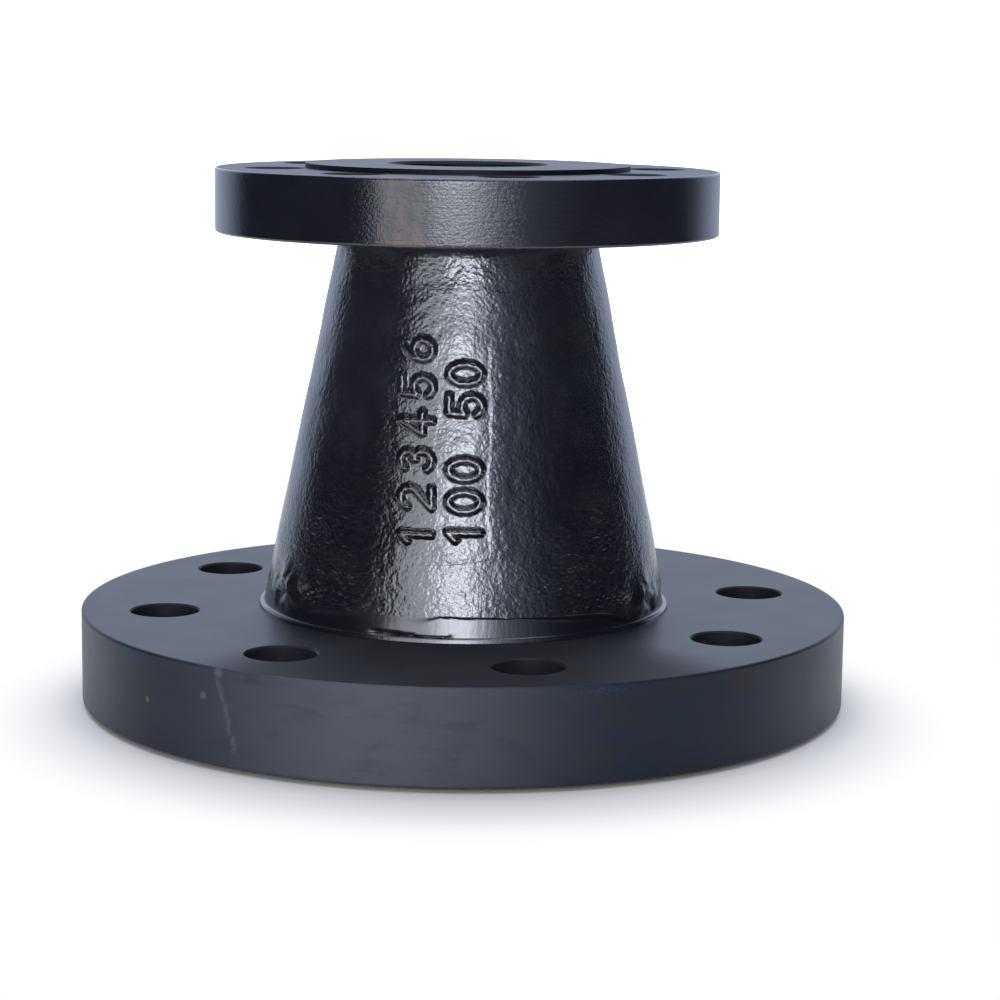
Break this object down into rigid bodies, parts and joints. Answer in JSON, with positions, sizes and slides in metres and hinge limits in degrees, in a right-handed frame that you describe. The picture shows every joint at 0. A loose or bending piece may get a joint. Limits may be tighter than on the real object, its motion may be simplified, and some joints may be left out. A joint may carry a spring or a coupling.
{
  "type": "flanged concentric reducer",
  "caption": "Cast iron pipe reducer with a drilled flange at each end, joining a larger pipe to a smaller one on the same axis.",
  "frame": {"origin": "centre of the large flange's raised face, in the plane that the fitting stands on", "axes": "+Z along the bore, from the large flange to the small one; X and Y lie between the bolt holes, which straddle them"},
  "size_m": [0.254, 0.254, 0.1778],
  "materials": {
    "painted_casting": "semi-gloss black paint over the cast skin and the machined flanges"
  },
  "bodies": {
    "root": {"reducer_casting": "painted_casting"}
  },
  "joints": []
}
